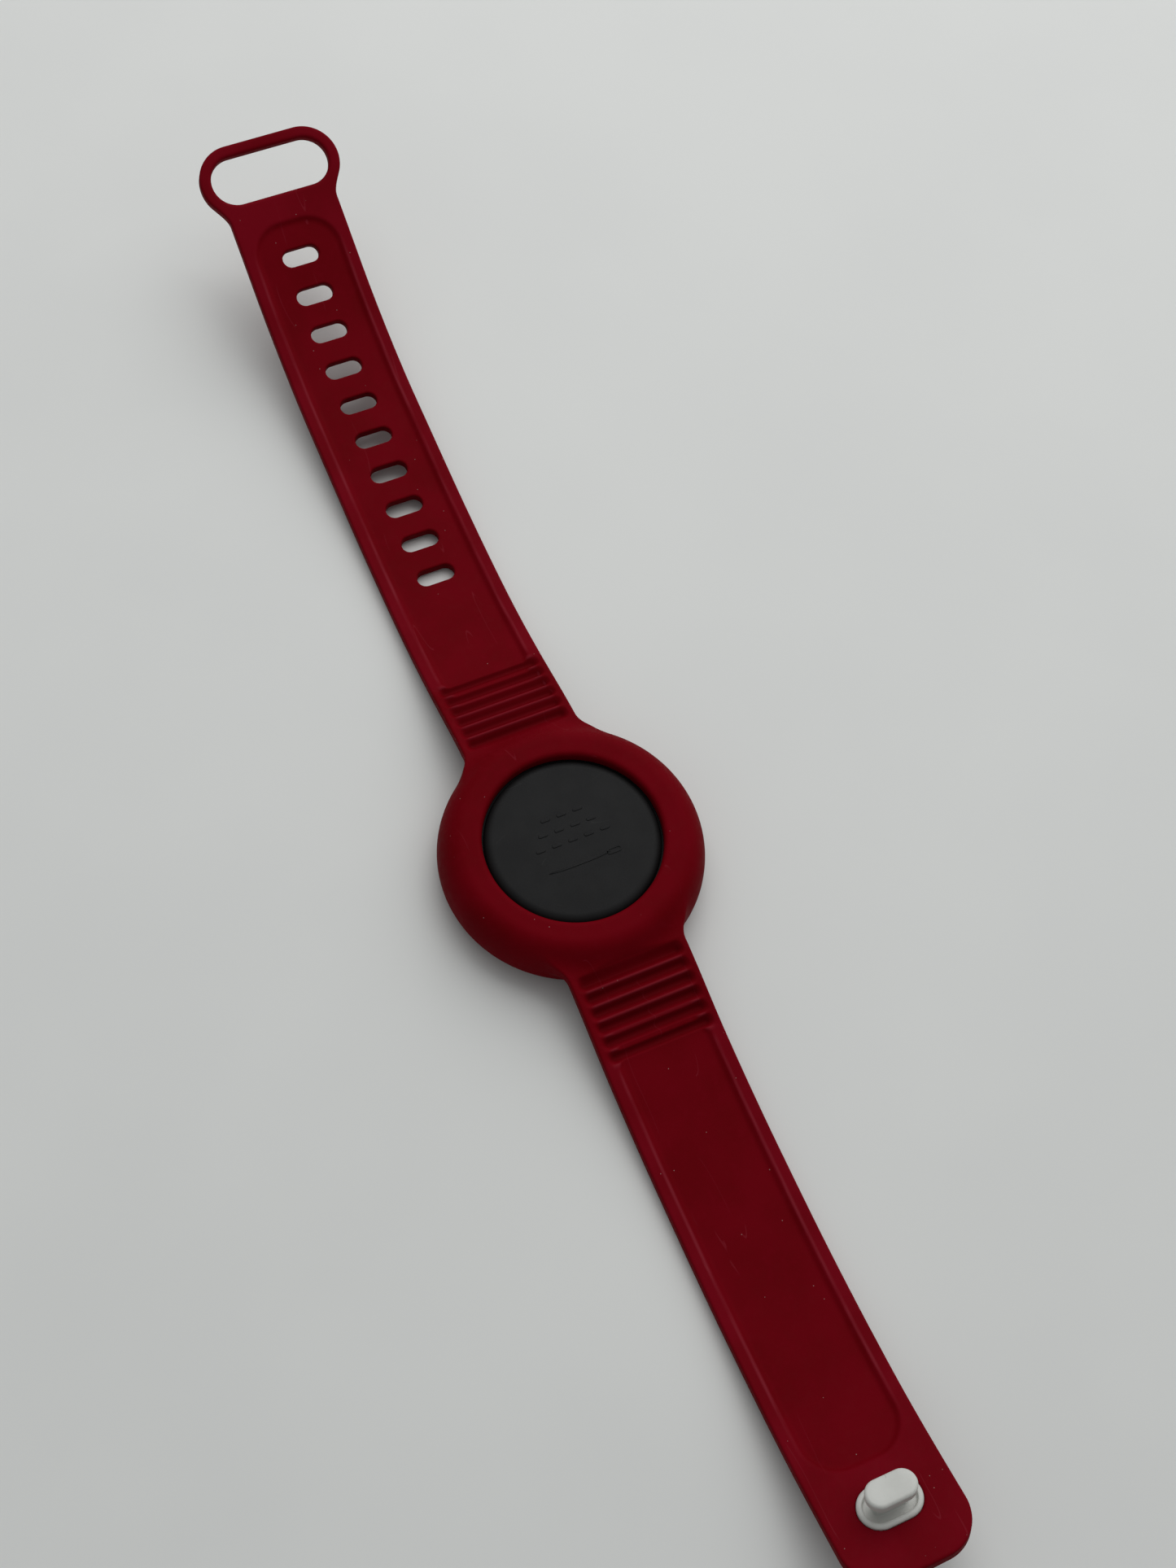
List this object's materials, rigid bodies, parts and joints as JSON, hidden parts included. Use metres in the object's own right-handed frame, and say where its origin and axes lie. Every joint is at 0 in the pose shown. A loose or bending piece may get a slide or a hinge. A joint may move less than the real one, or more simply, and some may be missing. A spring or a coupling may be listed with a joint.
{
  "type": "wrist pin cushion",
  "caption": "Magnetic wrist pin cushion: a round flat pin holder gripped by the ring of a silicone wrist band with ribbed roots, adjustment holes, keeper loop and closure stud.",
  "frame": {"origin": "centre of the flat pin face, which lies on the table", "axes": "+Z towards the skin side, +X along the strap that ends in the stud, +Y across the band"},
  "size_m": [0.2547, 0.042, 0.0232],
  "materials": {
    "silicone_band": "satin silicone, dusty",
    "holder_plastic": "fine matt texture",
    "stud_plastic": "smooth moulded",
    "magnet_ferrite": "sintered ferrite",
    "keeper_steel": "plain"
  },
  "bodies": {
    "ring": {"silicone_ring": "silicone_band", "pin_tray": "holder_plastic", "back_cover": "holder_plastic", "magnet": "magnet_ferrite", "keeper_plate": "keeper_steel"},
    "stud_ribs": {"stud_rib_link": "silicone_band"},
    "stud_1": {"stud_link_1": "silicone_band"},
    "stud_2": {"stud_link_2": "silicone_band"},
    "stud_3": {"stud_link_3": "silicone_band"},
    "stud_4": {"stud_link_4": "silicone_band"},
    "stud_5": {"stud_link_5": "silicone_band"},
    "stud_end": {"stud_pad": "silicone_band", "closure_stud": "stud_plastic", "stud_back_cap": "stud_plastic"},
    "hole_ribs": {"hole_rib_link": "silicone_band"},
    "hole_1": {"hole_link_1": "silicone_band"},
    "hole_2": {"hole_link_2": "silicone_band"},
    "hole_3": {"hole_link_3": "silicone_band"},
    "hole_4": {"hole_link_4": "silicone_band"},
    "hole_5": {"hole_link_5": "silicone_band"},
    "hole_6": {"hole_link_6": "silicone_band"},
    "hole_7": {"hole_link_7": "silicone_band"},
    "loop_end": {"keeper_loop": "silicone_band"}
  },
  "joints": [
    {"name": "stud_ribs_bend", "type": "hinge", "parent": "ring", "child": "stud_ribs", "pos_m": [0.0225, 0, 0.0059], "axis": [0, -1, 0], "range_deg": [0, 24], "stiffness_Nm_per_rad": 0.01},
    {"name": "stud_1_bend", "type": "hinge", "parent": "stud_ribs", "child": "stud_1", "pos_m": [0.03539, 0, 0.00307], "axis": [0, -1, 0], "range_deg": [0, 24], "stiffness_Nm_per_rad": 0.01},
    {"name": "stud_2_bend", "type": "hinge", "parent": "stud_1", "child": "stud_2", "pos_m": [0.04751, 0, 0.00162], "axis": [0, -1, 0], "range_deg": [0, 24], "stiffness_Nm_per_rad": 0.01},
    {"name": "stud_3_bend", "type": "hinge", "parent": "stud_2", "child": "stud_3", "pos_m": [0.0597, 0, 0.00115], "axis": [0, -1, 0], "range_deg": [0, 24], "stiffness_Nm_per_rad": 0.01},
    {"name": "stud_4_bend", "type": "hinge", "parent": "stud_3", "child": "stud_4", "pos_m": [0.0719, 0, 0.0013], "axis": [0, -1, 0], "range_deg": [0, 24], "stiffness_Nm_per_rad": 0.01},
    {"name": "stud_5_bend", "type": "hinge", "parent": "stud_4", "child": "stud_5", "pos_m": [0.08405, 0, 0.00239], "axis": [0, -1, 0], "range_deg": [0, 24], "stiffness_Nm_per_rad": 0.01},
    {"name": "stud_end_bend", "type": "hinge", "parent": "stud_5", "child": "stud_end", "pos_m": [0.09608, 0, 0.00442], "axis": [0, -1, 0], "range_deg": [0, 24], "stiffness_Nm_per_rad": 0.01},
    {"name": "hole_ribs_bend", "type": "hinge", "parent": "ring", "child": "hole_ribs", "pos_m": [-0.0225, 0, 0.0059], "axis": [0, 1, 0], "range_deg": [0, 19], "stiffness_Nm_per_rad": 0.01},
    {"name": "hole_1_bend", "type": "hinge", "parent": "hole_ribs", "child": "hole_1", "pos_m": [-0.03539, 0, 0.00307], "axis": [0, 1, 0], "range_deg": [0, 19], "stiffness_Nm_per_rad": 0.01},
    {"name": "hole_2_bend", "type": "hinge", "parent": "hole_1", "child": "hole_2", "pos_m": [-0.04409, 0, 0.00173], "axis": [0, 1, 0], "range_deg": [0, 19], "stiffness_Nm_per_rad": 0.01},
    {"name": "hole_3_bend", "type": "hinge", "parent": "hole_2", "child": "hole_3", "pos_m": [-0.05288, 0, 0.00134], "axis": [0, 1, 0], "range_deg": [0, 19], "stiffness_Nm_per_rad": 0.01},
    {"name": "hole_4_bend", "type": "hinge", "parent": "hole_3", "child": "hole_4", "pos_m": [-0.06707, 0, 0.00181], "axis": [0, 1, 0], "range_deg": [0, 19], "stiffness_Nm_per_rad": 0.01},
    {"name": "hole_5_bend", "type": "hinge", "parent": "hole_4", "child": "hole_5", "pos_m": [-0.0812, 0, 0.00322], "axis": [0, 1, 0], "range_deg": [0, 19], "stiffness_Nm_per_rad": 0.01},
    {"name": "hole_6_bend", "type": "hinge", "parent": "hole_5", "child": "hole_6", "pos_m": [-0.09528, 0, 0.00505], "axis": [0, 1, 0], "range_deg": [0, 19], "stiffness_Nm_per_rad": 0.01},
    {"name": "hole_7_bend", "type": "hinge", "parent": "hole_6", "child": "hole_7", "pos_m": [-0.10894, 0, 0.00896], "axis": [0, 1, 0], "range_deg": [0, 19], "stiffness_Nm_per_rad": 0.01},
    {"name": "loop_end_bend", "type": "hinge", "parent": "hole_7", "child": "loop_end", "pos_m": [-0.12191, 0, 0.01473], "axis": [0, 1, 0], "range_deg": [0, 19], "stiffness_Nm_per_rad": 0.01}
  ],
  "couplings": [
    {"joint": "stud_1_bend", "follows": "stud_ribs_bend", "ratio": 1},
    {"joint": "stud_2_bend", "follows": "stud_ribs_bend", "ratio": 1},
    {"joint": "stud_3_bend", "follows": "stud_ribs_bend", "ratio": 1},
    {"joint": "stud_4_bend", "follows": "stud_ribs_bend", "ratio": 1},
    {"joint": "stud_5_bend", "follows": "stud_ribs_bend", "ratio": 1},
    {"joint": "stud_end_bend", "follows": "stud_ribs_bend", "ratio": 1},
    {"joint": "hole_1_bend", "follows": "hole_ribs_bend", "ratio": 1},
    {"joint": "hole_2_bend", "follows": "hole_ribs_bend", "ratio": 1},
    {"joint": "hole_3_bend", "follows": "hole_ribs_bend", "ratio": 1},
    {"joint": "hole_4_bend", "follows": "hole_ribs_bend", "ratio": 1},
    {"joint": "hole_5_bend", "follows": "hole_ribs_bend", "ratio": 1},
    {"joint": "hole_6_bend", "follows": "hole_ribs_bend", "ratio": 1},
    {"joint": "hole_7_bend", "follows": "hole_ribs_bend", "ratio": 1},
    {"joint": "loop_end_bend", "follows": "hole_ribs_bend", "ratio": 1}
  ]
}
